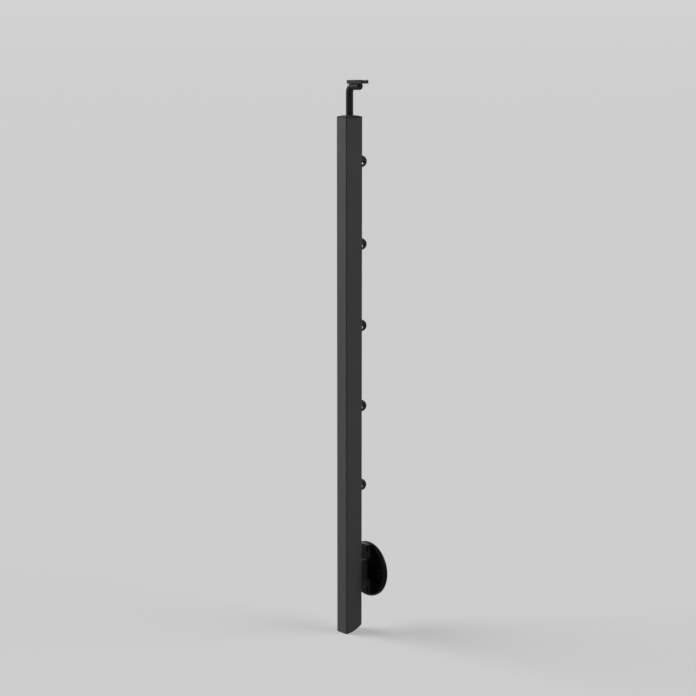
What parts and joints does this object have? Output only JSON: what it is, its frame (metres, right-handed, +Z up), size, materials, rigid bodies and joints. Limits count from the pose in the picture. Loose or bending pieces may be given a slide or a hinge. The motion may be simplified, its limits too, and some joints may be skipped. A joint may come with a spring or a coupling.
{
  "type": "side-mount railing post",
  "caption": "Anthracite rectangular railing post on a round black wall flange, with ball-shaped rod holders and a bent pin with a saddle for a round handrail.",
  "frame": {"origin": "centre of the round flange on the wall plane", "axes": "+X along the railing, the way the handrail pin's leg points; +Y into the wall; +Z up"},
  "size_m": [0.122, 0.0793, 1.1923],
  "materials": {
    "post_paint": "satin",
    "flange_gloss": "gloss",
    "black_metal": "satin",
    "black_plastic": "matte",
    "guide_metal": "plain",
    "zinc_steel": "zinc plated"
  },
  "bodies": {
    "root": {"post_tube": "post_paint", "bracket_neck": "post_paint", "flange_plate": "flange_gloss", "flange_screw_caps": "flange_gloss", "handrail_pin": "black_metal", "handrail_saddle": "black_metal", "top_cap": "black_plastic", "bottom_cap": "black_plastic", "rod_holder_1": "black_plastic", "rod_holder_2": "black_plastic", "rod_holder_3": "black_plastic", "rod_holder_4": "black_plastic", "rod_holder_5": "black_plastic", "pin_guide": "guide_metal", "fixing_block": "zinc_steel", "bracket_bolts": "zinc_steel", "saddle_screw": "zinc_steel", "pin_grub_screws": "zinc_steel", "rod_grub_screws": "zinc_steel", "holder_studs": "zinc_steel", "holder_rivet_nuts": "zinc_steel"}
  },
  "joints": []
}
